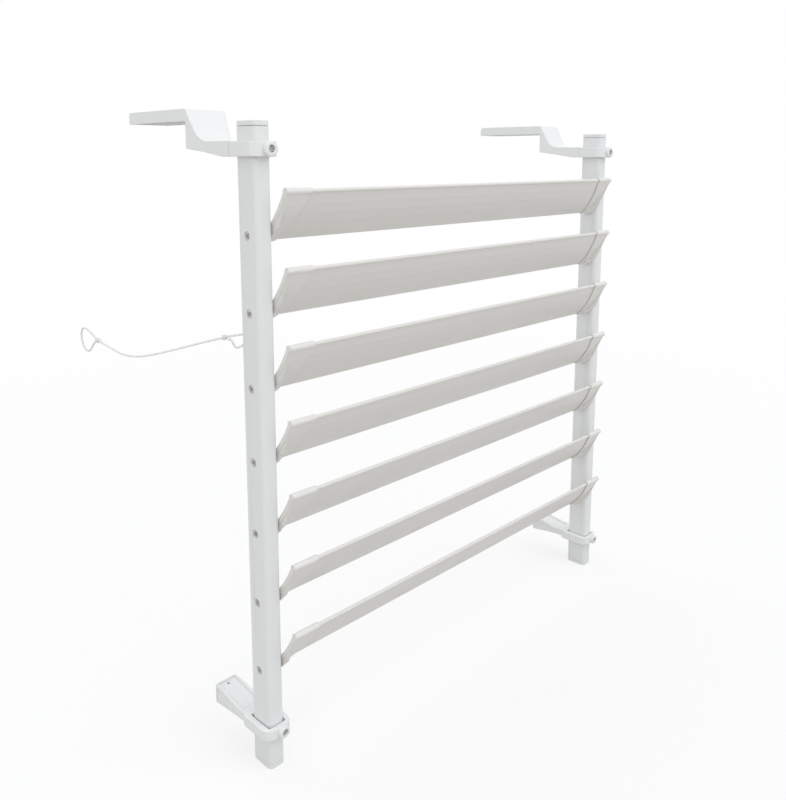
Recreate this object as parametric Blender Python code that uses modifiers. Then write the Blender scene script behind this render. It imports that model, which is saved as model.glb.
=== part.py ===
"""Louvred screen of seven tilting blades between two posts, hung by a hook on each post.

Metres, +Z up, +X to the right seen from the front, and the front faces -Y. The origin is in the middle
of the width and level with the foot of the posts. Y = 0 is the upright plane that the stays rest against.
"""
import bmesh
import bpy
from math import atan2, cos, pi, radians, sin, sqrt, tan
from mathutils import Matrix, Vector

# Frame
frame_width = 0.516
post_length = 0.550
post_width = 0.016
post_depth = 0.025
post_corner = 0.004
post_wall = 0.0016
post_standoff = 0.066
fit_gap = 0.0003
cut_overrun = 0.002
weld_distance = 0.000002

# End caps of the posts
cap_flange = 0.004
cap_plug = 0.008
cap_rounding = 0.0012

# Blades, measured in their own section: along the chord from the pivot, and over it
blade_count = 7
end_pivot_inset = 0.089
blade_tilt = radians(52)
blade_reach = 0.0445
blade_tail = 0.005
blade_thickness = 0.0016
blade_camber = 0.0026
bead_radius = 0.0017

# End pieces of the blades
end_plate = 0.0026
end_step = 0.0004
end_side_gap = 0.0010
end_seat = 0.0012
sleeve_length = 0.0257
sleeve_heel = 0.0120
sleeve_wall = 0.0009
end_belly_along = 0.0150
end_belly_depth = 0.0085
end_belly_radius = 0.0080
end_heel_radius = 0.0036
boss_radius = 0.0060
boss_depth = 0.0070

# Pivot screws
screw_shank_radius = 0.0017
screw_head_radius = 0.0033
screw_head_height = 0.0013
screw_sink = 0.0005
screw_slot_width = 0.0010
screw_slot_depth = 0.0007
pivot_clearance = 0.0005
slot_share = 0.62

# Collars of the brackets, measured from the post's axis
collar_half_width = 0.014
collar_front = 0.0175
collar_back = 0.021
collar_front_corner = 0.0085
collar_back_corner = 0.006
collar_rounding = 0.0022
hook_clearance = 0.0005
stay_clearance = 0.0009
slide_hole_corner = 0.0012

# Clamp screws and their bosses
clamp_offset = 0.0025
clamp_boss_front = 0.0212
clamp_boss_rounding = 0.0016
clamp_recess_depth = 0.0030
clamp_clearance = 0.0004
clamp_head_radius = 0.0027
clamp_head_height = 0.0014
clamp_head_crown = 0.0005
clamp_shank_radius = 0.0019

# Top hooks
seat_rise = 0.001
hook_drop = 0.0225
hook_collar_height = 0.012
hook_boss_radius = 0.0064
arm_thickness = 0.010
arm_length = 0.0963
arm_end_slant = 0.003
arm_half_width = 0.019
arm_corner = 0.004
arm_crest_radius = 0.0025
foot_overhang = 0.0003
ramp_foot = 0.0525
ramp_fillet = 0.016
web_depth = 0.0220
web_corner = 0.0015
plan_fillet = 0.010
arm_skin = 0.0024
arm_rim = 0.0022
arm_centre_rib = 0.004
arm_cross_rib = 0.002
arm_bays = 4
web_skin = 0.0026

# Bottom stays
stay_height = 0.0355
stay_collar_height = 0.0098
stay_boss_radius = 0.0055
pad_half_width = 0.0107
pad_top = 0.0096
pad_bottom = -0.0085
pad_corner = 0.0010
neck_half_width = 0.0125
neck_end = 0.030
neck_top = 0.0046
neck_bottom = -0.0030
tray_rim = 0.0018
tray_depth = 0.0014
tray_front = 0.0235
side_recess = 0.0006
pad_hole_radius = 0.0014
pad_hole_inset = 0.0052

# Cord
cord_radius = 0.0009
cord_clearance = 0.0007
cord_height = 0.3800
cord_hole_spacing = 0.0090
cord_side_shift = 0.0030
bight_radius = 0.0030
knot_length = 0.0056
knot_radius = 0.0024
knot_bore_gap = 0.0003
near_knot_distance = 0.0170
knot_end_share = 0.16

# Facets
CORNER_STEPS = 3
BLADE_STEPS = 5
BEAD_SIDES = 8
ROUND_SIDES = 12
SMALL_SIDES = 8
KNOT_RINGS = 4
SHARP_ANGLE = radians(35)
EDGE_ANGLE = radians(60)

# What follows from the sizes above
post_x = (frame_width - post_width) / 2
blade_pitch = (post_length - 2 * end_pivot_inset) / (blade_count - 1)
pivot_heights = [post_length - end_pivot_inset - i * blade_pitch for i in range(blade_count)]
clear_width = frame_width - 2 * post_width
end_outer = clear_width / 2 - end_side_gap
blade_half_length = end_outer - end_plate + end_seat
boss_inner = clear_width / 2 - boss_depth
hook_height = post_length + seat_rise - hook_drop
foot_half_width = collar_half_width + foot_overhang
sleeve_radius = bead_radius + fit_gap + sleeve_wall

# Each plane's own x, y and normal as columns; a plane's outline is extruded along the normal
PLANES = {
    "XY": Matrix.Identity(4),
    "YZ": Matrix(((0, 0, 1, 0), (1, 0, 0, 0), (0, 1, 0, 0), (0, 0, 0, 1))),
    "XZ": Matrix(((1, 0, 0, 0), (0, 0, -1, 0), (0, 1, 0, 0), (0, 0, 0, 1))),
}


def new_collection(name):
    collection = bpy.data.collections.new(name)
    bpy.context.scene.collection.children.link(collection)
    return collection


def put(name, data, collection):
    piece = bpy.data.objects.new(name, data)
    collection.objects.link(piece)
    return piece


def material(name, colour, roughness, metallic=0.0):
    finish = bpy.data.materials.new(name)
    finish.use_nodes = True
    shader = finish.node_tree.nodes["Principled BSDF"]
    shader.inputs["Base Color"].default_value = (*colour, 1)
    shader.inputs["Roughness"].default_value = roughness
    shader.inputs["Metallic"].default_value = metallic
    return finish


def solid_from(work, plane):
    """Turns a bmesh drawn on the XY plane into an object on the plane asked for."""
    mesh = bpy.data.meshes.new("solid")
    work.to_mesh(mesh)
    work.free()
    mesh.transform(PLANES[plane])
    return put("solid", mesh, cutters)


def box(low, high):
    """A closed box between two opposite corners."""
    low, high = Vector(low), Vector(high)
    work = bmesh.new()
    place = Matrix.Translation((low + high) / 2) @ Matrix.Diagonal((*(high - low), 1))
    bmesh.ops.create_cube(work, size=1, matrix=place)
    return solid_from(work, "XY")


def rod(radius, low, high, plane, centre=(0, 0), sides=SMALL_SIDES):
    """A cylinder square to the plane, from low to high along its normal."""
    work = bmesh.new()
    place = Matrix.Translation((*centre, (low + high) / 2))
    bmesh.ops.create_cone(work, cap_ends=True, segments=sides, radius1=radius, radius2=radius,
                          depth=high - low, matrix=place)
    return solid_from(work, plane)


def rounded(corners, steps=CORNER_STEPS):
    """An outline through corners of (x, y, radius), each rounded by an arc of that radius."""
    outline = []
    count = len(corners)
    for i, (x, y, radius) in enumerate(corners):
        corner = Vector((x, y))
        if not radius:
            outline.append(corner)
            continue
        before = (Vector(corners[i - 1][:2]) - corner).normalized()
        after = (Vector(corners[(i + 1) % count][:2]) - corner).normalized()
        half = before.angle(after) / 2
        centre = corner + (before + after).normalized() * (radius / sin(half))
        start = corner + before * (radius / tan(half)) - centre
        turn = start.angle_signed(corner + after * (radius / tan(half)) - centre)
        for step in range(steps + 1):
            outline.append(centre + Matrix.Rotation(-turn * step / steps, 2) @ start)
    return outline


def both_sides(half):
    """A symmetric outline from the corners of its +X half, in order of rising y."""
    return rounded(half + [(-x, y, radius) for x, y, radius in reversed(half)])


def mesh_of(shape):
    """The shape's evaluated mesh, with loose caps welded and every face pointing out."""
    evaluated = shape.evaluated_get(bpy.context.evaluated_depsgraph_get())
    mesh = bpy.data.meshes.new_from_object(evaluated)
    work = bmesh.new()
    work.from_mesh(mesh)
    bmesh.ops.remove_doubles(work, verts=work.verts, dist=weld_distance)
    bmesh.ops.recalc_face_normals(work, faces=work.faces)
    work.to_mesh(mesh)
    work.free()
    return mesh


def prism(outlines, low, high, plane):
    """A closed solid: an outline, or one with holes in it, extruded from low to high."""
    curve = bpy.data.curves.new("outline", "CURVE")
    curve.dimensions = "2D"
    curve.fill_mode = "BOTH"
    curve.extrude = (high - low) / 2
    for outline in outlines if isinstance(outlines[0], list) else [outlines]:
        spline = curve.splines.new("POLY")
        spline.points.add(len(outline) - 1)
        for point, (x, y) in zip(spline.points, outline):
            point.co = (x, y, 0, 1)
        spline.use_cyclic_u = True
    shape = put("outline", curve, cutters)
    bpy.context.view_layer.update()
    mesh = mesh_of(shape)
    mesh.transform(PLANES[plane] @ Matrix.Translation((0, 0, (high + low) / 2)))
    bpy.data.objects.remove(shape)
    bpy.data.curves.remove(curve)
    return put("solid", mesh, cutters)


def turned(profile, plane, sides=SMALL_SIDES):
    """A solid turned round the plane's normal, from a profile of (radius, height) points that run down."""
    mesh = bpy.data.meshes.new("profile")
    points = [(radius, 0, height) for radius, height in profile]
    mesh.from_pydata(points, [(i, i + 1) for i in range(len(points) - 1)], [])
    shape = put("profile", mesh, cutters)
    screw = shape.modifiers.new("turn", "SCREW")
    screw.steps = sides
    screw.render_steps = sides
    screw.use_merge_vertices = True
    screw.merge_threshold = weld_distance
    bpy.context.view_layer.update()
    turned_mesh = mesh_of(shape)
    turned_mesh.transform(PLANES[plane])
    bpy.data.objects.remove(shape)
    return put("solid", turned_mesh, cutters)


def apply_modifiers(piece):
    bpy.context.view_layer.update()
    mesh = mesh_of(piece)
    piece.modifiers.clear()
    piece.data = mesh
    return piece


def combine(piece, operation, *others):
    """Joins the others to the piece, or takes them from it, or keeps what they share."""
    for other in others:
        step = piece.modifiers.new(operation.lower(), "BOOLEAN")
        step.operation = operation
        step.object = other
        step.solver = "EXACT"
    apply_modifiers(piece)
    for other in others:
        bpy.data.objects.remove(other)
    return piece


def joined(solids):
    """One cutter made of several solids that lie apart, so that one Boolean cuts them all."""
    work = bmesh.new()
    for solid in solids:
        work.from_mesh(mesh_only(solid))
    return solid_from(work, "XY")


def soften(piece, width, angle=EDGE_ANGLE):
    """Rounds the edges that are sharper than the angle."""
    bevel = piece.modifiers.new("soften", "BEVEL")
    bevel.width = width
    bevel.segments = 2
    bevel.limit_method = "ANGLE"
    bevel.angle_limit = angle
    return apply_modifiers(piece)


def mirrored(mesh):
    other = mesh.copy()
    other.transform(Matrix.Scale(-1, 4, (1, 0, 0)))
    other.flip_normals()
    return other


def axis_empty(name, place, turn=0):
    """An empty on a joint's axis, turned about X."""
    empty = put(name, None, guides)
    empty.location = place
    empty.rotation_euler = (turn, 0, 0)
    empty.hide_render = True
    return empty


def finish_piece(mesh, name, finish, parent=None, place=(0, 0, 0)):
    """Makes the mesh a named part with its material, at its place under its parent."""
    piece = put(name, mesh, parts)
    piece.location = place
    piece.parent = parent
    mesh.materials.clear()
    mesh.materials.append(finish)
    mesh.shade_smooth()
    mesh.set_sharp_from_angle(angle=SHARP_ANGLE)
    return piece


def mesh_only(solid):
    """The solid's mesh; the solid itself goes."""
    mesh = solid.data
    bpy.data.objects.remove(solid)
    return mesh


def post_outline(inset, corner):
    half_x, half_y = post_width / 2 - inset, post_depth / 2 - inset
    return both_sides([(half_x, -half_y, corner), (half_x, half_y, corner)])


def screw_seat(side, height):
    """A cutter for the countersunk seat of a pivot screw in a post's outer wall."""
    outside = post_width / 2 + cut_overrun
    sunk = post_width / 2 - screw_sink
    rim, hole = screw_head_radius + pivot_clearance, screw_shank_radius + pivot_clearance
    profile = [(0, outside), (rim, outside), (rim, sunk), (hole, sunk - screw_head_height), (hole, 0), (0, 0)]
    seat = turned(profile, "YZ", ROUND_SIDES)
    if side < 0:
        seat.data.transform(Matrix.Rotation(pi, 4, "Z"))
    seat.data.transform(Matrix.Translation((0, 0, height)))
    return seat


def build_post(name, side):
    """A tube; side is -1 for the left post, whose outer wall faces -X, and 1 for the right one."""
    low, high = cap_flange + fit_gap, post_length - cap_flange - fit_gap
    tube = prism(post_outline(0, post_corner), low, high, "XY")
    bore = post_outline(post_wall, post_corner - post_wall)
    combine(tube, "DIFFERENCE", prism(bore, low - cut_overrun, high + cut_overrun, "XY"))
    outer, inner = post_width / 2 + cut_overrun, post_width / 2 - post_wall - cut_overrun
    inner_wall = sorted((-side * outer, -side * inner))
    holes = []
    for height in pivot_heights:
        holes.append(screw_seat(side, height))
        holes.append(rod(screw_shank_radius + pivot_clearance, *inner_wall, "YZ", (0, height)))
    if side < 0:
        ends = (-post_depth / 2 - cut_overrun, -post_depth / 2 + post_wall + cut_overrun)
        for height in (cord_height, cord_height - cord_hole_spacing):
            holes.append(rod(cord_radius + cord_clearance, *ends, "XZ", (-cord_side_shift, height)))
    combine(tube, "DIFFERENCE", joined(holes))
    finish_piece(mesh_only(tube), name, white_plastic, place=(side * post_x, -post_standoff, 0))


def build_cap(name, side, top):
    """A plug with a flange that closes one end of a post."""
    cap = soften(prism(post_outline(0, post_corner), 0, cap_flange, "XY"), cap_rounding)
    inset = post_wall + fit_gap
    plug = post_outline(inset, post_corner - post_wall)
    combine(cap, "UNION", prism(plug, -cap_plug, cap_flange / 2, "XY"))
    base = post_length - cap_flange
    if not top:
        cap.data.transform(Matrix.Rotation(pi, 4, "X"))
        base = cap_flange
    finish_piece(mesh_only(cap), name, white_plastic, place=(side * post_x, -post_standoff, base))


def blade_share(along):
    return (along + blade_tail) / (blade_reach + blade_tail)


def blade_line(along):
    """Height of the blade's middle line over its chord, which sags to the underside."""
    share = blade_share(along)
    return -4 * blade_camber * share * (1 - share)


def blade_slope(along):
    return atan2(-4 * blade_camber * (1 - 2 * blade_share(along)), blade_reach + blade_tail)


def arc(centre, radius, start, sweep, sides):
    """The points of an arc, without its two ends."""
    turns = [start + sweep * step / sides for step in range(1, sides)]
    return [Vector(centre) + Vector((cos(turn), sin(turn))) * radius for turn in turns]


def blade_outline(grow=0.0):
    """The blade's section in (along, over): a cambered strip with a round tail and a bead at the lip."""
    half = blade_thickness / 2 + grow
    bead = bead_radius + grow
    join = sqrt(bead ** 2 - half ** 2)
    lip_turn = blade_slope(blade_reach)
    front = blade_reach - join * cos(lip_turn)
    upper, lower = [], []
    for step in range(BLADE_STEPS + 1):
        along = -blade_tail + (front + blade_tail) * step / BLADE_STEPS
        turn = blade_slope(along)
        offset = Vector((-sin(turn), cos(turn))) * half
        upper.append(Vector((along, blade_line(along))) + offset)
        lower.append(Vector((along, blade_line(along))) - offset)
    gap = atan2(half, join)
    lip = (blade_reach, blade_line(blade_reach))
    bead_arc = arc(lip, bead, lip_turn + pi + gap, 2 * (pi - gap), BEAD_SIDES)
    tail_arc = arc((-blade_tail, 0), half, blade_slope(-blade_tail) + pi / 2, pi, BEAD_SIDES // 2)
    return lower + bead_arc + upper[::-1] + tail_arc


def face_front(piece):
    """Swings a section drawn along +Y so that the lip points to the front, -Y, with the underside down."""
    piece.data.transform(Matrix.Scale(-1, 4, (0, 1, 0)))
    piece.data.flip_normals()
    return mesh_only(piece)


def blade_mesh():
    """The blade, notched at both ends where the end pieces' pivot bosses sit."""
    blade = prism(blade_outline(), -blade_half_length, blade_half_length, "YZ")
    for side in (-1, 1):
        ends = sorted((side * (boss_inner - fit_gap), side * clear_width / 2))
        combine(blade, "DIFFERENCE", rod(boss_radius + fit_gap, *ends, "YZ", sides=ROUND_SIDES))
    return face_front(blade)


def end_plate_outline():
    """The side plate in (along, over), bellied out under the blade; its upper edge lies inside the sleeve."""
    lip = blade_line(blade_reach)
    middle = (blade_reach - blade_tail) / 2
    return rounded([
        (blade_reach, lip, 0),
        (blade_reach, lip - bead_radius, 0),
        (end_belly_along, -end_belly_depth, end_belly_radius),
        (-boss_radius, -boss_radius, end_heel_radius),
        (-blade_tail, 0, 0),
        (middle, blade_line(middle), 0),
    ])


def sleeve_plan():
    """The sleeve seen square to the blade, in (x, along): long at the lip and short at the pivot."""
    outer, lip_end, heel_end = end_outer + cut_overrun, end_outer - sleeve_length, end_outer - sleeve_heel
    front, rear = blade_reach + 2 * sleeve_radius, -blade_tail - boss_radius
    inner_side = ((lip_end, front), (lip_end, blade_reach), (heel_end, 0), (heel_end, rear))
    return [Vector(point) for point in ((outer, rear), (outer, front), *inner_side)]


def right_end_mesh():
    """The right end piece: a sleeve on the blade's end, a side plate and the pivot boss."""
    far_end = end_outer - 2 * sleeve_length
    end = prism(end_plate_outline(), end_outer - end_plate, end_outer - end_step, "YZ")
    sleeve = prism(blade_outline(fit_gap + sleeve_wall), far_end, end_outer, "YZ")
    combine(sleeve, "INTERSECT", prism(sleeve_plan(), -blade_reach, blade_reach, "XY"))
    combine(end, "UNION", sleeve)
    blade_room = prism(blade_outline(fit_gap), far_end - cut_overrun, blade_half_length + fit_gap, "YZ")
    combine(end, "DIFFERENCE", blade_room)
    combine(end, "UNION", rod(boss_radius, boss_inner, clear_width / 2 - fit_gap, "YZ", sides=ROUND_SIDES))
    bore = rod(screw_shank_radius + fit_gap, boss_inner - cut_overrun, clear_width / 2 + cut_overrun, "YZ")
    combine(end, "DIFFERENCE", bore)
    return face_front(end)


def cut_cross(screw, top, radius, plane):
    """Cuts a cross recess into a screw's head, whose crown is at the top along the plane's normal."""
    long, wide = radius * slot_share, screw_slot_width / 2
    for x, y in ((long, wide), (wide, long)):
        bar = box((-x, -y, top - screw_slot_depth), (x, y, top + cut_overrun))
        bar.data.transform(PLANES[plane])
        combine(screw, "DIFFERENCE", bar)
    return screw


def right_screw_mesh():
    """A pivot screw along X through the right post, its countersunk head in the outer wall."""
    top = clear_width / 2 + post_width - screw_sink
    profile = [(0, top), (screw_head_radius, top), (screw_shank_radius, top - screw_head_height),
               (screw_shank_radius, boss_inner), (0, boss_inner)]
    return mesh_only(cut_cross(turned(profile, "YZ", ROUND_SIDES), top, screw_head_radius, "YZ"))


def build_blades():
    """Each blade hangs with its two end pieces and its two pivot screws on one empty, on its hinge's axis."""
    blade, right_end, right_screw = blade_mesh(), right_end_mesh(), right_screw_mesh()
    pieces = (("", blade, blade_plastic),
              ("_left_end", mirrored(right_end), end_plastic), ("_right_end", right_end, end_plastic),
              ("_left_screw", mirrored(right_screw), screw_steel), ("_right_screw", right_screw, screw_steel))
    for i, height in enumerate(pivot_heights):
        name = f"blade_{i + 1}"
        # The section is drawn with its chord level, so the empty carries the tilt
        axis = axis_empty(name + "_axis", (0, -post_standoff, height), -blade_tilt)
        for ending, mesh, finish in pieces:
            finish_piece(mesh, name + ending, finish, axis)


def collar(height, clamp_radius):
    """The ring that slides on a post, with the clamp boss on its front, centred on the post's axis."""
    half = collar_half_width
    outline = both_sides([
        (half, -collar_front, collar_front_corner),
        (half, collar_back, collar_back_corner),
    ])
    ring = soften(prism(outline, -height / 2, height / 2, "XY"), collar_rounding)
    boss = rod(clamp_radius, post_depth / 2 + collar_rounding, clamp_boss_front, "XZ", (clamp_offset, 0),
               2 * SMALL_SIDES)
    return combine(ring, "UNION", soften(boss, clamp_boss_rounding))


def collar_cutters(height, clearance):
    """The post's way through a collar, the clamp screw's bore and the recess for its head."""
    at = (clamp_offset, 0)
    front = clamp_boss_front + cut_overrun
    recess = clamp_head_radius + clamp_clearance
    return [
        prism(post_outline(-clearance, slide_hole_corner), -height, height, "XY"),
        rod(clamp_shank_radius + fit_gap, 0, front, "XZ", at),
        rod(recess, clamp_boss_front - clamp_recess_depth, front, "XZ", at, ROUND_SIDES),
    ]


def arm_outline():
    """The hook's side view in (y, z) from the collar's middle: foot, ramp, arm and inner corner."""
    seat, top = hook_drop, hook_drop + arm_thickness
    rear = post_standoff + arm_length
    foot = hook_collar_height / 2 - weld_distance
    return rounded([
        (post_depth / 2, foot, 0),
        (ramp_foot, foot, ramp_fillet),
        (post_standoff, top, arm_crest_radius),
        (rear - arm_end_slant, top, arm_corner),
        (rear, seat, web_corner),
        (post_standoff, seat, web_corner),
        (post_standoff, seat - web_depth, web_corner),
        (collar_back, -foot, 0),
        (post_depth / 2, -foot, 0),
    ])


def hook_plan():
    """The hook from above: the arm's full width, drawn in to the foot's at the bottom of the ramp."""
    return both_sides([
        (foot_half_width, post_depth / 2, 0),
        (foot_half_width, ramp_foot - plan_fillet / 2, plan_fillet),
        (arm_half_width, post_standoff, plan_fillet / 2),
        (arm_half_width, post_standoff + arm_length, arm_corner),
    ])


def arm_pockets():
    """Hollows under the arm that leave a skin, a rim, a middle rib and cross ribs, as a moulding has."""
    start = post_standoff + arm_rim + web_corner
    length = arm_length - 2 * arm_rim - web_corner - arm_end_slant
    bay = (length - (arm_bays - 1) * arm_cross_rib) / arm_bays
    inner, outer = arm_centre_rib / 2, arm_half_width - arm_rim
    low, high = hook_drop - cut_overrun, hook_drop + arm_thickness - arm_skin
    pockets = []
    for i in range(arm_bays):
        near = start + i * (bay + arm_cross_rib)
        pockets.append(box((inner, near, low), (outer, near + bay, high)))
        pockets.append(box((-outer, near, low), (-inner, near + bay, high)))
    return pockets


def web_pocket():
    """The hollow under the ramp, open below, one skin thick all round."""
    foot = hook_collar_height / 2 - web_skin
    slope = (hook_drop + arm_thickness - hook_collar_height / 2) / (post_standoff - ramp_foot)
    front, rear = collar_back + web_skin, post_standoff - web_skin
    turn = ramp_foot + web_skin * sqrt(1 + slope ** 2) / slope
    outline = rounded([
        (front, foot, 0),
        (turn, foot, ramp_fillet / 2),
        (rear, foot + slope * (rear - turn), 0),
        (rear, -hook_drop, 0),
        (front, -hook_drop, 0),
    ])
    half = foot_half_width - web_skin
    return prism(outline, -half, half, "YZ")


def build_hook(name, side):
    """A top hook on its own empty, on the post's axis and level with the middle of the collar."""
    hook = prism(arm_outline(), -2 * arm_half_width, 2 * arm_half_width, "YZ")
    combine(hook, "INTERSECT", prism(hook_plan(), -2 * arm_half_width, 2 * arm_half_width, "XY"))
    combine(hook, "UNION", collar(hook_collar_height, hook_boss_radius))
    combine(hook, "DIFFERENCE", *collar_cutters(hook_collar_height, hook_clearance))
    combine(hook, "DIFFERENCE", joined(arm_pockets()), web_pocket())
    axis = axis_empty(name + "_axis", (side * post_x, -post_standoff, hook_height))
    return finish_piece(mesh_only(hook), name, white_plastic, axis)


def pad_outline():
    """The stay's side view in (y, z) from the collar's middle: a wedge that grows towards its rear face."""
    return rounded([
        (post_depth / 2, neck_bottom, 0),
        (neck_end, neck_bottom, 0),
        (post_standoff, pad_bottom, pad_corner),
        (post_standoff, pad_top, pad_corner),
        (neck_end, neck_top, 0),
        (post_depth / 2, neck_top, 0),
    ])


def pad_plan():
    return both_sides([
        (collar_half_width - collar_rounding, post_depth / 2, 0),
        (neck_half_width, neck_end - tray_rim, plan_fillet),
        (pad_half_width, post_standoff, pad_corner),
    ])


def tray():
    """The shallow tray in the wedge's top, whose floor follows the slope of the top."""
    slope = (pad_top - neck_top) / (post_standoff - neck_end)
    rear = post_standoff - tray_rim
    floor_rear = pad_top - slope * tray_rim - tray_depth
    floor_front = floor_rear - slope * (rear - tray_front)
    above = pad_top + cut_overrun
    corners = ((tray_front, floor_front), (rear, floor_rear), (rear, above), (tray_front, above))
    half = pad_half_width - tray_rim
    return prism([Vector(corner) for corner in corners], -half, half, "YZ")


def side_panels():
    """The shallow panel set into each side of the wedge, a rim's width from its edges."""
    front, rear = neck_end + tray_rim, post_standoff - tray_rim
    outline = [Vector(point) for point in (
        (front, neck_bottom + tray_rim), (rear, pad_bottom + 2 * tray_rim),
        (rear, pad_top - 2 * tray_rim), (front, neck_top - 2 * tray_rim))]
    panel = prism(outline, 0, neck_half_width, "YZ")
    taper = atan2(neck_half_width - pad_half_width, post_standoff - neck_end)
    hinge = Matrix.Translation((neck_half_width - side_recess, neck_end, 0))
    panel.data.transform(hinge @ Matrix.Rotation(taper, 4, "Z") @ Matrix.Translation((0, -neck_end, 0)))
    return panel, put("solid", mirrored(panel.data), cutters)


def build_stay(name, side):
    """A bottom stay on its own empty, on the post's axis and level with the middle of the collar."""
    stay = prism(pad_outline(), -2 * collar_half_width, 2 * collar_half_width, "YZ")
    combine(stay, "INTERSECT", prism(pad_plan(), -2 * collar_half_width, 2 * collar_half_width, "XY"))
    combine(stay, "UNION", collar(stay_collar_height, stay_boss_radius))
    hole_place = (0, post_standoff - pad_hole_inset)
    hole = rod(pad_hole_radius, -collar_half_width, collar_half_width, "XY", hole_place)
    combine(stay, "DIFFERENCE", *collar_cutters(stay_collar_height, stay_clearance))
    combine(stay, "DIFFERENCE", tray(), joined(side_panels()), hole)
    axis = axis_empty(name + "_axis", (side * post_x, -post_standoff, stay_height))
    return finish_piece(mesh_only(stay), name, white_plastic, axis)


def build_clamp(name, bracket):
    """A clamp screw along Y: its head sits in the boss's recess and its tip stops at the post."""
    seat = clamp_boss_front - clamp_recess_depth + fit_gap
    top = seat + clamp_head_height
    tip = post_depth / 2 + fit_gap
    head, shank = clamp_head_radius, clamp_shank_radius
    profile = [(0, top), (head - clamp_head_crown, top), (head, top - clamp_head_crown), (head, seat),
               (shank, seat), (shank, tip), (0, tip)]
    screw = cut_cross(turned(profile, "XZ", ROUND_SIDES), top, clamp_head_radius, "XZ")
    finish_piece(mesh_only(screw), name, screw_steel, bracket.parent, place=(clamp_offset, 0, 0))


def smooth_path(route, per_span):
    """Points on one smooth curve through the route's own points."""
    points = [Vector(point) for point in route]
    ends = [points[0] * 2 - points[1]] + points + [points[-1] * 2 - points[-2]]
    path = []
    for a, b, c, d in zip(ends, ends[1:], ends[2:], ends[3:]):
        for step in range(per_span):
            t = step / per_span
            path.append((b * 2 + (c - a) * t + (a * 2 - b * 5 + c * 4 - d) * t * t
                         + (b * 3 - a - c * 3 + d) * t * t * t) / 2)
    path.append(points[-1])
    return path


def build_tube(name, path):
    """A stretch of cord along the path, with filled ends."""
    curve = bpy.data.curves.new(name, "CURVE")
    curve.dimensions = "3D"
    curve.bevel_depth = cord_radius
    curve.bevel_resolution = 2
    curve.use_fill_caps = True
    spline = curve.splines.new("POLY")
    spline.points.add(len(path) - 1)
    for point, place in zip(spline.points, path):
        point.co = (*place, 1)
    shape = put(name, curve, cutters)
    bpy.context.view_layer.update()
    mesh = mesh_of(shape)
    bpy.data.objects.remove(shape)
    bpy.data.curves.remove(curve)
    finish_piece(mesh, name, cord_plastic)


def build_knot(name, centre, direction, bored):
    """A tight knot: a short barrel drawn in at both ends, bored where the cord runs on through it."""
    ring = []
    for step in range(KNOT_RINGS + 1):
        share = step / KNOT_RINGS
        swell = sin(pi * (knot_end_share + (1 - 2 * knot_end_share) * share))
        ring.append((knot_radius * swell, knot_length / 2 - knot_length * share))
    body = turned([(0, knot_length / 2)] + ring + [(0, -knot_length / 2)], "XY")
    if bored:
        combine(body, "DIFFERENCE", rod(cord_radius + knot_bore_gap, -knot_length, knot_length, "XY"))
    body.data.transform(Vector(direction).to_track_quat("Z", "Y").to_matrix().to_4x4())
    finish_piece(mesh_only(body), name, cord_plastic, place=centre)


# The cord's route, chosen by hand: out of the left post, straight back, round a corner and along behind it
post_rear = -post_standoff + post_depth / 2
cord_x = -post_x - cord_side_shift
cord_route = (
    (cord_x, post_rear - 0.0008, cord_height),
    (cord_x - 0.0016, post_rear + 0.0040, cord_height - 0.0006),
    (cord_x - 0.0085, post_rear + 0.0130, cord_height - 0.0028),
    (cord_x - 0.0220, post_rear + 0.0290, cord_height - 0.0078),
    (cord_x - 0.0390, post_rear + 0.0460, cord_height - 0.0140),
    (cord_x - 0.0540, post_rear + 0.0600, cord_height - 0.0185),
    (cord_x - 0.0610, post_rear + 0.0710, cord_height - 0.0202),
    (cord_x - 0.0640, post_rear + 0.0850, cord_height - 0.0203),
    (cord_x - 0.0638, post_rear + 0.1020, cord_height - 0.0192),
    (cord_x - 0.0628, post_rear + 0.1200, cord_height - 0.0180),
    (cord_x - 0.0615, post_rear + 0.1340, cord_height - 0.0172),
)
# The open loop at the cord's far end, from the middle of the far knot
loop_start = knot_length / 2 + fit_gap
loop_route = (
    (0.0000, loop_start, 0.0011),
    (0.0002, 0.0110, 0.0038),
    (0.0002, 0.0200, 0.0066),
    (0.0000, 0.0278, 0.0070),
    (-0.0004, 0.0318, 0.0010),
    (-0.0004, 0.0298, -0.0080),
    (0.0000, 0.0240, -0.0130),
    (0.0002, 0.0170, -0.0118),
    (0.0002, 0.0095, -0.0052),
    (0.0000, loop_start, -0.0011),
)


def near_knot_place(path):
    """The path's first point at the knot's distance from the post, and the path's direction there."""
    walked = 0
    for before, after in zip(path, path[1:]):
        walked += (after - before).length
        if walked >= near_knot_distance:
            return (before + after) / 2, (after - before).normalized()
    return path[-1], (path[-1] - path[-2]).normalized()


def bight_route(knot_centre, direction):
    """The cord's turn through the post: from the near knot in at the lower hole, out at the upper."""
    lower = cord_height - cord_hole_spacing
    wall = post_rear - post_wall
    inside = wall - bight_radius
    below = Vector((0, 0, -2 * (cord_radius + fit_gap)))
    start = knot_centre - direction * (knot_length / 2 + fit_gap) + below
    return (
        start,
        start - direction * knot_length / 2 + below / 2,
        (cord_x - 0.0050, post_rear + 0.0068, lower - 0.0026),
        (cord_x - 0.0004, post_rear + 0.0022, lower),
        (cord_x, wall, lower),
        (cord_x, inside, lower + 0.0016),
        (cord_x, inside - 0.0012, cord_height - cord_hole_spacing / 2),
        (cord_x, inside, cord_height - 0.0014),
        (cord_x, wall, cord_height),
    )


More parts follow.
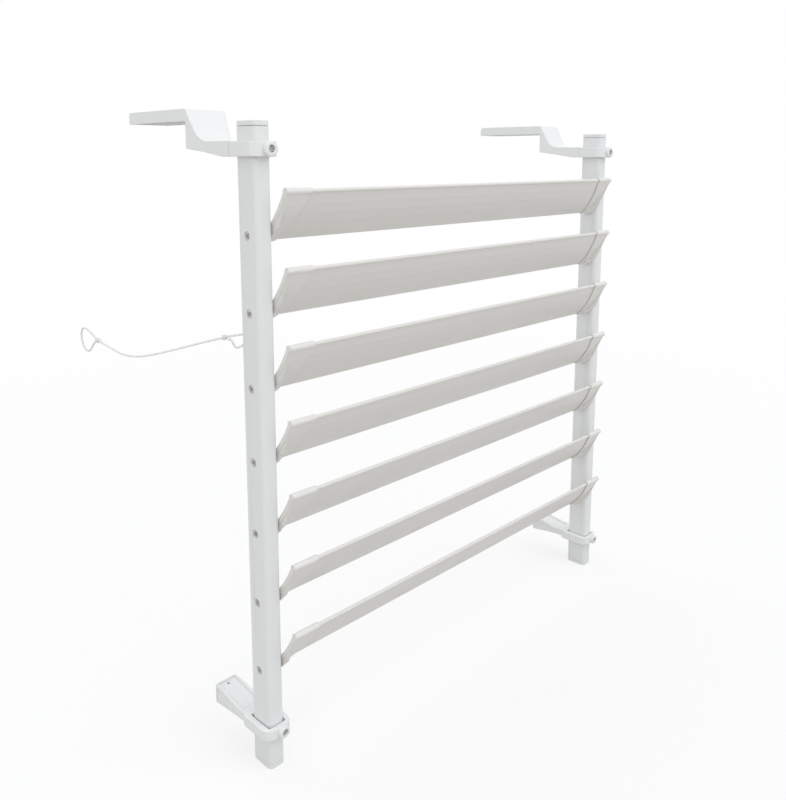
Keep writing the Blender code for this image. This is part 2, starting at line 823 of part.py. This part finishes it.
def build_cord():
    """The cord, the turn of it through the post's wall, its two knots and the open loop at its far end."""
    path = smooth_path(cord_route, 3)
    build_tube("tie_cord", path)
    along = (path[-1] - Vector(cord_route[-2])).normalized()
    far = path[-1] + along * (knot_length / 2 + fit_gap)
    build_knot("far_knot", far, along, False)
    build_tube("cord_loop", smooth_path([far + Vector(point) for point in loop_route], 3))
    near, direction = near_knot_place(path)
    build_knot("near_knot", near, direction, True)
    build_tube("cord_bight", smooth_path(bight_route(near, direction), 3))


for old in list(bpy.data.objects):
    bpy.data.objects.remove(old)
parts = new_collection("air_conditioner_screen")
cutters = new_collection("cutters")
guides = new_collection("guides")
white_plastic = material("white_plastic", (0.83, 0.84, 0.83), 0.42)
blade_plastic = material("blade_plastic", (0.80, 0.79, 0.76), 0.45)
end_plastic = material("end_plastic", (0.86, 0.86, 0.84), 0.40)
screw_steel = material("screw_steel", (0.45, 0.45, 0.44), 0.35, 1.0)
cord_plastic = material("cord_plastic", (0.86, 0.87, 0.86), 0.35)

for post_name, post_side in (("left", -1), ("right", 1)):
    build_post(post_name + "_post", post_side)
    build_cap(post_name + "_top_cap", post_side, True)
    build_cap(post_name + "_bottom_cap", post_side, False)
    build_clamp(post_name + "_top_clamp", build_hook(post_name + "_top_hook", post_side))
    build_clamp(post_name + "_bottom_clamp", build_stay(post_name + "_bottom_stay", post_side))
build_blades()
build_cord()
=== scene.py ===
"""Looks of the louvred screen: camera, cords, finishes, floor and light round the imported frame."""
from math import cos, pi, radians, sin

import bpy
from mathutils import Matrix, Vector


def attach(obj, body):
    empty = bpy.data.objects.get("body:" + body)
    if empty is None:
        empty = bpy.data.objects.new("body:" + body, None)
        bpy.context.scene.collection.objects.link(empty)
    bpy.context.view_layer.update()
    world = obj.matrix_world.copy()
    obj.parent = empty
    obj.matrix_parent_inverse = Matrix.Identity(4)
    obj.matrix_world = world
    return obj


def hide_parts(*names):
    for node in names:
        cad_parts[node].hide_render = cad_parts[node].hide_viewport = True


# Camera
image_height = 800
sensor_width = 36.0
focal_pixels = 807.63
horizon_pixels = 288.0
camera_place = (-0.6251, -0.5910, 0.5209)
camera_yaw = 0.78961
camera_pitch = -0.15868

# Cord, with the route of the CAD source
cord_radius = 0.0009
cord_height = 0.3800
cord_hole_spacing = 0.0090
cord_x = -0.2530
post_rear = -0.0535
post_wall = 0.0016
bight_radius = 0.0030
fit_gap = 0.0003
knot_length = 0.0056
near_knot_distance = 0.0170
route_steps = 3
cord_route = (
    (cord_x, post_rear - 0.0008, cord_height),
    (cord_x - 0.0016, post_rear + 0.0040, cord_height - 0.0006),
    (cord_x - 0.0085, post_rear + 0.0130, cord_height - 0.0028),
    (cord_x - 0.0220, post_rear + 0.0290, cord_height - 0.0078),
    (cord_x - 0.0390, post_rear + 0.0460, cord_height - 0.0140),
    (cord_x - 0.0540, post_rear + 0.0600, cord_height - 0.0185),
    (cord_x - 0.0610, post_rear + 0.0710, cord_height - 0.0202),
    (cord_x - 0.0640, post_rear + 0.0850, cord_height - 0.0203),
    (cord_x - 0.0638, post_rear + 0.1020, cord_height - 0.0192),
    (cord_x - 0.0628, post_rear + 0.1200, cord_height - 0.0180),
    (cord_x - 0.0615, post_rear + 0.1340, cord_height - 0.0172),
)
loop_route = (
    (0.0000, 0.0031, 0.0011),
    (0.0002, 0.0110, 0.0038),
    (0.0002, 0.0200, 0.0066),
    (0.0000, 0.0278, 0.0070),
    (-0.0004, 0.0318, 0.0010),
    (-0.0004, 0.0298, -0.0080),
    (0.0000, 0.0240, -0.0130),
    (0.0002, 0.0170, -0.0118),
    (0.0002, 0.0095, -0.0052),
    (0.0000, 0.0031, -0.0011),
)

# Knots, as coils that are drawn in at both ends
knot_turns = 3
knot_turn_points = 14
knot_coil_radius = 0.00145
knot_strand_radius = 0.00085
knot_end_share = 0.45
knot_swell = 2.2
strand_resolution = 4

# Plastics: fresh, aged and dusty colour, roughness, depth of grain, edge softened in shading, and
# lines in a metre for those that were extruded
plastics = {
    "white_plastic": (
        (0.80, 0.815, 0.825), (0.795, 0.795, 0.78), (0.75, 0.74, 0.715), 0.40, 0.00005, 0.0005, 300.0),
    "bracket_plastic": (
        (0.825, 0.835, 0.845), (0.82, 0.82, 0.805), (0.78, 0.77, 0.745), 0.36, 0.00006, 0.0007, None),
    "blade_plastic": (
        (0.78, 0.765, 0.74), (0.765, 0.75, 0.72), (0.75, 0.735, 0.705), 0.44, 0.00003, 0.0003, 520.0),
    "end_plastic": (
        (0.795, 0.78, 0.76), (0.78, 0.765, 0.74), (0.76, 0.745, 0.72), 0.40, 0.00005, 0.0005, None),
}
plastic_ior = 1.49
plastic_specular = 0.42
aged_share = 0.55
dust_shares = (0.12, 0.40)
dust_slope_range = (0.35, 0.95)
roughness_drop = 0.06
roughness_rise = 0.10
grain_strength = 0.5
line_strength = 0.25
line_stretch = 0.6
edge_samples = 6

# Screws
steel_colour = (0.56, 0.56, 0.55)
steel_film_colour = (0.40, 0.39, 0.37)
steel_roughness = (0.30, 0.52)
steel_grain = 0.00004
steel_grain_strength = 0.5

# Cord, a milky clear plastic
cord_colour = (0.90, 0.91, 0.91)
cord_milk_colour = (0.94, 0.94, 0.93)
cord_roughness = (0.30, 0.44)
cord_grain = 0.00002
cord_grain_strength = 0.3
cord_transmission = 0.18
cord_ior = 1.50

# Noises: patches in a metre, detail, roughness
cloud_noise = (7.0, 4.0, 0.6)
speckle_noise = (420.0, 2.0, 0.5)
gloss_noise = (38.0, 4.0, 0.6)
grain_noise = (1400.0, 2.0, 0.5)
line_noise = (1.0, 3.0, 0.6)
steel_film_noise = (260.0, 4.0, 0.6)
steel_grain_noise = (2600.0, 2.0, 0.5)
milk_noise = (180.0, 3.0, 0.6)
cord_grain_noise = (3200.0, 2.0, 0.5)

# The part of each noise's values that a finish spreads out
cloud_range = (0.35, 0.72)
speckle_range = (0.55, 0.80)
gloss_range = (0.3, 0.7)
steel_film_range = (0.40, 0.70)
milk_range = (0.35, 0.70)

# Edges rounded in the mesh, by material
rounded_edges = {
    "white_plastic": 0.0004,
    "bracket_plastic": 0.0006,
    "blade_plastic": 0.0003,
    "end_plastic": 0.0003,
    "screw_steel": 0.0003,
}
edge_segments = 2
smooth_angle = radians(32)
flat_angle = radians(0.6)

# Floor
floor_size = 12.0
floor_fade_start = 0.75
floor_fade_end = 1.9
floor_shadow_share = 0.30
floor_seen = (0.88, 0.88, 0.88)
floor_bounce = (0.54, 0.53, 0.51)
floor_roughness = 0.9

# Lamps: name, place, size, power in watts, colour
lamps = (
    ("key", (0.7, -2.2, 3.1), 2.9, 34.5, (0.96, 0.98, 1.0)),
    ("fill", (-2.5, -1.7, 1.2), 2.4, 12.0, (1.0, 0.985, 0.96)),
    ("rim", (-0.4, 2.2, 2.6), 2.0, 9.5, (1.0, 1.0, 1.0)),
)
lamp_target = (0.0, -0.03, 0.28)

# Sky's light: its colour, and its strength straight up and straight down
sky_colour = (0.97, 0.985, 1.0)
sky_level = 0.93
ground_level = 0.55


def smooth_path(route, per_span):
    """Points on one smooth curve through the route's own points."""
    points = [Vector(point) for point in route]
    ends = [points[0] * 2 - points[1]] + points + [points[-1] * 2 - points[-2]]
    path = []
    for before, start, end, after in zip(ends, ends[1:], ends[2:], ends[3:]):
        pull = end - before
        bend = before * 2 - start * 5 + end * 4 - after
        twist = start * 3 - before - end * 3 + after
        for step in range(per_span):
            share = step / per_span
            path.append((start * 2 + pull * share + bend * share * share
                         + twist * share * share * share) / 2)
    path.append(points[-1])
    return path


def near_knot_place(path):
    """The path's first point at the knot's distance from the post, and the path's direction there."""
    walked = 0
    for before, after in zip(path, path[1:]):
        walked += (after - before).length
        if walked >= near_knot_distance:
            return (before + after) / 2, (after - before).normalized()
    return path[-1], (path[-1] - path[-2]).normalized()


def bight_route(knot_centre, direction):
    """The cord's turn through the post: from the near knot in at the lower hole, out at the upper."""
    lower = cord_height - cord_hole_spacing
    wall = post_rear - post_wall
    inside = wall - bight_radius
    below = Vector((0, 0, -2 * (cord_radius + fit_gap)))
    start = knot_centre - direction * (knot_length / 2 + fit_gap) + below
    return (
        start,
        start - direction * knot_length / 2 + below / 2,
        (cord_x - 0.0050, post_rear + 0.0068, lower - 0.0026),
        (cord_x - 0.0004, post_rear + 0.0022, lower),
        (cord_x, wall, lower),
        (cord_x, inside, lower + 0.0016),
        (cord_x, inside - 0.0012, cord_height - cord_hole_spacing / 2),
        (cord_x, inside, cord_height - 0.0014),
        (cord_x, wall, cord_height),
    )


def strand(name, path, radius, finish, replaced):
    """A round strand along the path that stands for a CAD node and rides on the frame."""
    curve = bpy.data.curves.new(name, "CURVE")
    curve.dimensions = "3D"
    curve.bevel_depth = radius
    curve.bevel_resolution = strand_resolution
    curve.use_fill_caps = True
    spline = curve.splines.new("POLY")
    spline.points.add(len(path) - 1)
    for point, place in zip(spline.points, path):
        point.co = (*place, 1)
    curve.materials.append(finish)
    piece = bpy.data.objects.new(name, curve)
    bpy.context.scene.collection.objects.link(piece)
    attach(piece, "frame")
    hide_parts(replaced)
    return piece


def knot_coil(name, centre, direction, finish, replaced):
    """A knot as tight turns of the cord round itself, drawn in at both ends."""
    turn = Vector(direction).to_track_quat("Z", "Y").to_matrix()
    steps = knot_turns * knot_turn_points
    path = []
    for step in range(steps + 1):
        share = step / steps
        angle = 2 * pi * knot_turns * share
        swell = min(1.0, sin(pi * share) * knot_swell)
        radius = knot_coil_radius * (knot_end_share + (1 - knot_end_share) * swell)
        along = (share - 0.5) * (knot_length - 2 * knot_strand_radius)
        path.append(centre + turn @ Vector((radius * cos(angle), radius * sin(angle), along)))
    return strand(name, path, knot_strand_radius, finish, replaced)


def make_cords(finish):
    """The cord to its far knot, its turn through the post, its knots and the open loop at its end."""
    path = smooth_path(cord_route, route_steps)
    along = (path[-1] - Vector(cord_route[-2])).normalized()
    far = path[-1] + along * (knot_length / 2 + fit_gap)
    near, near_direction = near_knot_place(path)
    cord = strand("cord_run", path, cord_radius, finish, "tie_cord")
    near_coil = knot_coil("near_knot_coil", near, near_direction, finish, "near_knot")
    far_coil = knot_coil("far_knot_coil", far, along, finish, "far_knot")

    bight_path = smooth_path(bight_route(near, near_direction), route_steps)
    bight = strand("cord_turn", bight_path, cord_radius, finish, "cord_bight")

    loop_path = smooth_path([far + Vector(point) for point in loop_route], route_steps)
    loop = strand("cord_end_loop", loop_path, cord_radius, finish, "cord_loop")


def make_camera():
    """Sets up the camera; its shift keeps the posts nearly upright in the picture."""
    lens = bpy.data.cameras.new("camera")
    lens.sensor_width = sensor_width
    lens.lens = focal_pixels / image_height * sensor_width
    lens.shift_y = (horizon_pixels - image_height / 2) / image_height
    camera = bpy.data.objects.new("camera", lens)
    bpy.context.scene.collection.objects.link(camera)
    camera.location = camera_place
    camera.rotation_euler = (pi / 2 + camera_pitch, 0, -camera_yaw)
    bpy.context.scene.camera = camera


class Nodes:
    """Short calls for building one material's node tree."""

    def __init__(self, name):
        self.finish = bpy.data.materials.new(name)
        self.finish.use_nodes = True
        self.tree = self.finish.node_tree
        self.shader = self.tree.nodes["Principled BSDF"]
        self.place = self.add("ShaderNodeTexCoord").outputs["Object"]

    def add(self, kind, **settings):
        node = self.tree.nodes.new(kind)
        for key, value in settings.items():
            setattr(node, key, value)
        return node

    def link(self, source, target):
        self.tree.links.new(source, target)

    def scaled(self, scale):
        """The object's own coordinates, in metres, times a scale for each axis."""
        mapping = self.add("ShaderNodeMapping")
        mapping.inputs["Scale"].default_value = scale
        self.link(self.place, mapping.inputs["Vector"])
        return mapping.outputs["Vector"]

    def noise(self, scale, detail, roughness, stretch=(1, 1, 1)):
        texture = self.add("ShaderNodeTexNoise")
        texture.inputs["Scale"].default_value = scale
        texture.inputs["Detail"].default_value = detail
        texture.inputs["Roughness"].default_value = roughness
        self.link(self.scaled(stretch), texture.inputs["Vector"])
        return texture.outputs["Fac"]

    def ranged(self, value, low, high, from_low=0.0, from_high=1.0):
        """The value's part between from_low and from_high, spread from low to high and held there."""
        spread = self.add("ShaderNodeMapRange")
        limits = (("From Min", from_low), ("From Max", from_high), ("To Min", low), ("To Max", high))
        for key, number in limits:
            spread.inputs[key].default_value = number
        self.link(value, spread.inputs["Value"])
        return spread.outputs["Result"]

    def product(self, first, second):
        node = self.add("ShaderNodeMath", operation="MULTIPLY")
        self.link(first, node.inputs[0])
        self.link(second, node.inputs[1])
        return node.outputs["Value"]

    def mixed(self, share, first, second):
        """A colour between two, each a colour or another node's output."""
        mix = self.add("ShaderNodeMix", data_type="RGBA")
        self.link(share, mix.inputs["Factor"])
        for socket, colour in ((mix.inputs[6], first), (mix.inputs[7], second)):
            if isinstance(colour, tuple):
                socket.default_value = (*colour, 1)
            else:
                self.link(colour, socket)
        return mix.outputs[2]

    def bump(self, height, distance, strength, under=None):
        node = self.add("ShaderNodeBump")
        node.inputs["Distance"].default_value = distance
        node.inputs["Strength"].default_value = strength
        self.link(height, node.inputs["Height"])
        if under is not None:
            self.link(under, node.inputs["Normal"])
        return node.outputs["Normal"]


def upward(nodes):
    """0 on sides and undersides, rising to 1 on faces that look up, where dust settles."""
    normal = nodes.add("ShaderNodeNewGeometry").outputs["Normal"]
    parts = nodes.add("ShaderNodeSeparateXYZ")
    nodes.link(normal, parts.inputs["Vector"])
    return nodes.ranged(parts.outputs["Z"], 0.0, 1.0, *dust_slope_range)


def plastic(name):
    """A moulded or extruded plastic: faint yellowing, dust on top faces, grain and softened edges."""
    fresh, aged, dusty, roughness, grain, edge, line_count = plastics[name]
    nodes = Nodes(name)
    cloud = nodes.ranged(nodes.noise(*cloud_noise), 0.0, 1.0, *cloud_range)
    speckle = nodes.ranged(nodes.noise(*speckle_noise), 0.0, 1.0, *speckle_range)
    tone = nodes.mixed(nodes.ranged(cloud, 0.0, aged_share), fresh, aged)
    settled = nodes.product(upward(nodes), nodes.ranged(speckle, *dust_shares))
    nodes.link(nodes.mixed(settled, tone, dusty), nodes.shader.inputs["Base Color"])
    dull = nodes.ranged(
        nodes.noise(*gloss_noise), roughness - roughness_drop, roughness + roughness_rise, *gloss_range)
    nodes.link(dull, nodes.shader.inputs["Roughness"])
    soft_edge = nodes.add("ShaderNodeBevel", samples=edge_samples)
    soft_edge.inputs["Radius"].default_value = edge
    normal = nodes.bump(nodes.noise(*grain_noise), grain, grain_strength, soft_edge.outputs["Normal"])
    if line_count:
        lines = nodes.noise(*line_noise, (line_stretch, line_count, line_count))
        normal = nodes.bump(lines, grain, line_strength, normal)
    nodes.link(normal, nodes.shader.inputs["Normal"])
    nodes.shader.inputs["IOR"].default_value = plastic_ior
    nodes.shader.inputs["Specular IOR Level"].default_value = plastic_specular
    return nodes.finish


def steel(name):
    """Plated screw steel with a dull, uneven film and a fine grain."""
    nodes = Nodes(name)
    film = nodes.ranged(nodes.noise(*steel_film_noise), 0.0, 1.0, *steel_film_range)
    nodes.link(nodes.mixed(film, steel_colour, steel_film_colour), nodes.shader.inputs["Base Color"])
    nodes.link(nodes.ranged(film, *steel_roughness), nodes.shader.inputs["Roughness"])
    grain = nodes.bump(nodes.noise(*steel_grain_noise), steel_grain, steel_grain_strength)
    nodes.link(grain, nodes.shader.inputs["Normal"])
    nodes.shader.inputs["Metallic"].default_value = 1.0
    return nodes.finish


def clear_cord(name):
    """A milky, slightly see-through cord with a fine grain."""
    nodes = Nodes(name)
    milk = nodes.ranged(nodes.noise(*milk_noise), 0.0, 1.0, *milk_range)
    nodes.link(nodes.mixed(milk, cord_colour, cord_milk_colour), nodes.shader.inputs["Base Color"])
    nodes.link(nodes.ranged(milk, *cord_roughness), nodes.shader.inputs["Roughness"])
    grain = nodes.bump(nodes.noise(*cord_grain_noise), cord_grain, cord_grain_strength)
    nodes.link(grain, nodes.shader.inputs["Normal"])
    nodes.shader.inputs["Transmission Weight"].default_value = cord_transmission
    nodes.shader.inputs["IOR"].default_value = cord_ior
    return nodes.finish


def dress(node, finish, edge):
    """Gives a CAD node its finish, smooth shading and edges that are rounded in the mesh."""
    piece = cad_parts[node]
    piece.data.materials.clear()
    piece.data.materials.append(finish)
    piece.data.shade_smooth()
    flat = piece.modifiers.new("flats", "DECIMATE")
    flat.decimate_type = "DISSOLVE"
    flat.angle_limit = flat_angle
    rounding = piece.modifiers.new("edges", "BEVEL")
    rounding.width = edge
    rounding.segments = edge_segments
    rounding.limit_method = "ANGLE"
    rounding.angle_limit = smooth_angle
    rounding.harden_normals = True


def finish_of(node):
    """The name of a CAD node's finish, by what the node is."""
    if "hook" in node or "stay" in node:
        return "bracket_plastic"
    if "screw" in node or "clamp" in node:
        return "screw_steel"
    if node.endswith("_end"):
        return "end_plastic"
    if node.startswith("blade"):
        return "blade_plastic"
    return "white_plastic"


def dress_frame():
    """Every CAD node gets its finish, apart from the cord's, which strands stand for."""
    finishes = {name: plastic(name) for name in plastics}
    finishes["screw_steel"] = steel("screw_steel")
    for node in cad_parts:
        if "cord" in node or "knot" in node:
            continue
        name = finish_of(node)
        dress(node, finishes[name], rounded_edges[name])


def seen_share(tree):
    """1 on rays from the camera and on those that gloss or clear plastic sends on, 0 on other rays."""
    path = tree.nodes.new("ShaderNodeLightPath")
    total = path.outputs["Is Camera Ray"]
    for ray in ("Is Glossy Ray", "Is Transmission Ray"):
        either = tree.nodes.new("ShaderNodeMath")
        either.operation = "MAXIMUM"
        tree.links.new(total, either.inputs[0])
        tree.links.new(path.outputs[ray], either.inputs[1])
        total = either.outputs["Value"]
    return total


def make_floor():
    """A pale floor that keeps the object's shadow near it and runs out to white."""
    mesh = bpy.data.meshes.new("floor")
    half = floor_size / 2
    corners = [(-half, -half, 0), (half, -half, 0), (half, half, 0), (-half, half, 0)]
    mesh.from_pydata(corners, [], [(0, 1, 2, 3)])
    floor = bpy.data.objects.new("floor", mesh)
    bpy.context.scene.collection.objects.link(floor)
    nodes = Nodes("floor")
    distance = nodes.add("ShaderNodeVectorMath", operation="LENGTH")
    nodes.link(nodes.place, distance.inputs[0])
    near = nodes.ranged(
        distance.outputs["Value"], floor_shadow_share, 0.0, floor_fade_start, floor_fade_end)
    seen = seen_share(nodes.tree)
    nodes.link(nodes.mixed(seen, floor_bounce, floor_seen), nodes.shader.inputs["Base Color"])
    nodes.shader.inputs["Roughness"].default_value = floor_roughness
    white = nodes.add("ShaderNodeEmission")
    lit = nodes.add("ShaderNodeMixShader")
    nodes.link(near, lit.inputs["Fac"])
    nodes.link(white.outputs["Emission"], lit.inputs[1])
    nodes.link(nodes.shader.outputs["BSDF"], lit.inputs[2])
    result = nodes.add("ShaderNodeMixShader")
    nodes.link(seen, result.inputs["Fac"])
    nodes.link(nodes.shader.outputs["BSDF"], result.inputs[1])
    nodes.link(lit.outputs["Shader"], result.inputs[2])
    nodes.link(result.outputs["Shader"], nodes.tree.nodes["Material Output"].inputs["Surface"])
    mesh.materials.append(nodes.finish)


def make_sky():
    """Even light that is brighter from above, and plain white where the camera looks past the object."""
    world = bpy.data.worlds.new("sky")
    bpy.context.scene.world = world
    world.use_nodes = True
    tree = world.node_tree
    tree.nodes.clear()
    direction = tree.nodes.new("ShaderNodeTexCoord")
    parts = tree.nodes.new("ShaderNodeSeparateXYZ")
    level = tree.nodes.new("ShaderNodeMapRange")
    light = tree.nodes.new("ShaderNodeBackground")
    white = tree.nodes.new("ShaderNodeBackground")
    mix = tree.nodes.new("ShaderNodeMixShader")
    output = tree.nodes.new("ShaderNodeOutputWorld")
    limits = (("From Min", -1.0), ("From Max", 1.0), ("To Min", ground_level), ("To Max", sky_level))
    for key, number in limits:
        level.inputs[key].default_value = number
    links = (
        (direction.outputs["Generated"], parts.inputs["Vector"]),
        (parts.outputs["Z"], level.inputs["Value"]),
        (level.outputs["Result"], light.inputs["Strength"]),
        (seen_share(tree), mix.inputs["Fac"]),
        (light.outputs["Background"], mix.inputs[1]),
        (white.outputs["Background"], mix.inputs[2]),
        (mix.outputs["Shader"], output.inputs["Surface"]),
    )
    light.inputs["Color"].default_value = (*sky_colour, 1)
    white.inputs["Color"].default_value = (1, 1, 1, 1)
    for source, target in links:
        tree.links.new(source, target)


def make_lamps():
    for name, place, size, power, colour in lamps:
        lamp = bpy.data.lights.new(name, "AREA")
        lamp.size = size
        lamp.energy = power
        lamp.color = colour
        holder = bpy.data.objects.new(name, lamp)
        bpy.context.scene.collection.objects.link(holder)
        holder.location = place
        holder.rotation_euler = (Vector(lamp_target) - Vector(place)).to_track_quat("-Z", "Y").to_euler()


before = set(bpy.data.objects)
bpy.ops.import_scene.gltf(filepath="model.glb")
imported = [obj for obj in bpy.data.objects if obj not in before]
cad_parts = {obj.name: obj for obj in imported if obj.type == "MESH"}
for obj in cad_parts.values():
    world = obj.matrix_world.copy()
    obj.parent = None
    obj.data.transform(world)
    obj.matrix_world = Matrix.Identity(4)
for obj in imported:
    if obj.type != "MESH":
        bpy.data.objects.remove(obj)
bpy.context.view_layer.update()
bpy.context.scene.view_settings.view_transform = "Standard"
make_camera()
make_cords(clear_cord("cord_plastic"))
dress_frame()
make_floor()
make_sky()
make_lamps()
